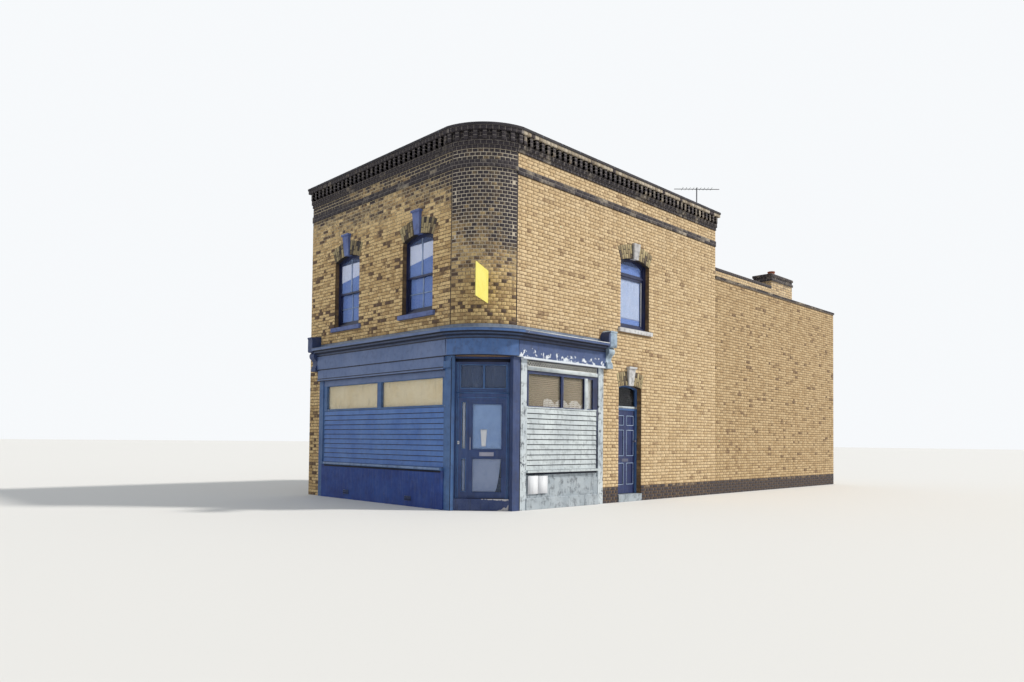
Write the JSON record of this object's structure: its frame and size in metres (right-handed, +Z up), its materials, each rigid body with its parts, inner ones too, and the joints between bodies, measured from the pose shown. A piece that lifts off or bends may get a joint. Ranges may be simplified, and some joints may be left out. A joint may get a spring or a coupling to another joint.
{
  "type": "corner shop building",
  "caption": "Brick corner shop with a bowed entrance corner, painted timber shopfront on both streets, a side house door and a lower rear wing.",
  "frame": {"origin": "on the ground, in the middle of the chord of the bowed corner, under the step of the corner door", "axes": "+Z up, the shop's main front faces -Y, the flank with the side door faces +X, the rear wing runs to +Y"},
  "size_m": [6.7003, 17.1636, 8.48],
  "materials": {
    "floorboards": "worn boards",
    "stock_brick": "yellow stock brick, sooty in places",
    "soot_brick": "sooted brick and tile",
    "blue_joinery": "painted timber, slate blue",
    "dark_joinery": "painted timber, dark blue",
    "pale_joinery": "painted timber, pale grey, peeling",
    "cream_iron": "cream paint",
    "slate": "natural slate",
    "lead": "lead sheet, dull",
    "terracotta": "unglazed",
    "black_pipe": "black",
    "aerial_metal": "dull",
    "window_glass": "clear",
    "timber_beam": "sawn softwood",
    "steel_fittings": "satin",
    "brass_fittings": "dull",
    "yellow_board": "yellow board",
    "painted_masonry": "painted sills and keystones",
    "render": "painted render"
  },
  "bodies": {
    "building": {"ground_floor": "floorboards", "first_floor": "floorboards", "wing_floors": "floorboards", "front_wall": "stock_brick", "corner_wall": "stock_brick", "flank_wall": "stock_brick", "party_wall": "stock_brick", "rear_wall": "stock_brick", "wing_flank_wall": "stock_brick", "wing_yard_wall": "stock_brick", "wing_end_wall": "stock_brick", "front_cornice": "soot_brick", "corner_cornice": "soot_brick", "flank_cornice": "soot_brick", "parapet_coping": "soot_brick", "brick_arches": "stock_brick", "keystones": "painted_masonry", "window_sills": "painted_masonry", "main_roof": "slate", "wing_roof": "slate", "wing_coping": "soot_brick", "wing_stack": "soot_brick", "chimney_pot": "terracotta", "vent_cowl": "black_pipe", "aerial": "aerial_metal", "street_windows": "blue_joinery", "rear_windows": "pale_joinery", "window_glass": "window_glass", "back_door": "blue_joinery", "shop_beams": "timber_beam", "front_fascia": "blue_joinery", "corner_fascia": "blue_joinery", "flank_fascia": "blue_joinery", "shop_flashing": "lead", "console_brackets": "blue_joinery", "shop_pilasters": "pale_joinery", "corner_posts": "blue_joinery", "front_shop_frame": "blue_joinery", "flank_shop_frame": "blue_joinery", "shop_glass": "window_glass", "shop_boards": "blue_joinery", "stall_risers": "render", "lattice_ventilator": "cream_iron", "corner_door_frame": "blue_joinery", "corner_lights": "window_glass", "corner_step": "render", "side_door_frame": "blue_joinery", "side_step": "render", "door_hinges": "steel_fittings", "projecting_sign": "yellow_board", "gutters": "black_pipe"},
    "corner_door": {"corner_door_leaf": "dark_joinery", "corner_door_panes": "window_glass", "corner_door_fittings": "steel_fittings"},
    "side_door": {"side_door_leaf": "dark_joinery", "side_door_fittings": "brass_fittings"}
  },
  "joints": [
    {"name": "corner_door_hinge", "type": "hinge", "parent": "building", "child": "corner_door", "pos_m": [0.2376, 0.42, 1.2], "axis": [0, 0, -1], "range_deg": [0, 90]},
    {"name": "side_door_hinge", "type": "hinge", "parent": "building", "child": "side_door", "pos_m": [0.266, 3.948, 1.15], "axis": [0, 0, 1], "range_deg": [0, 90]}
  ]
}
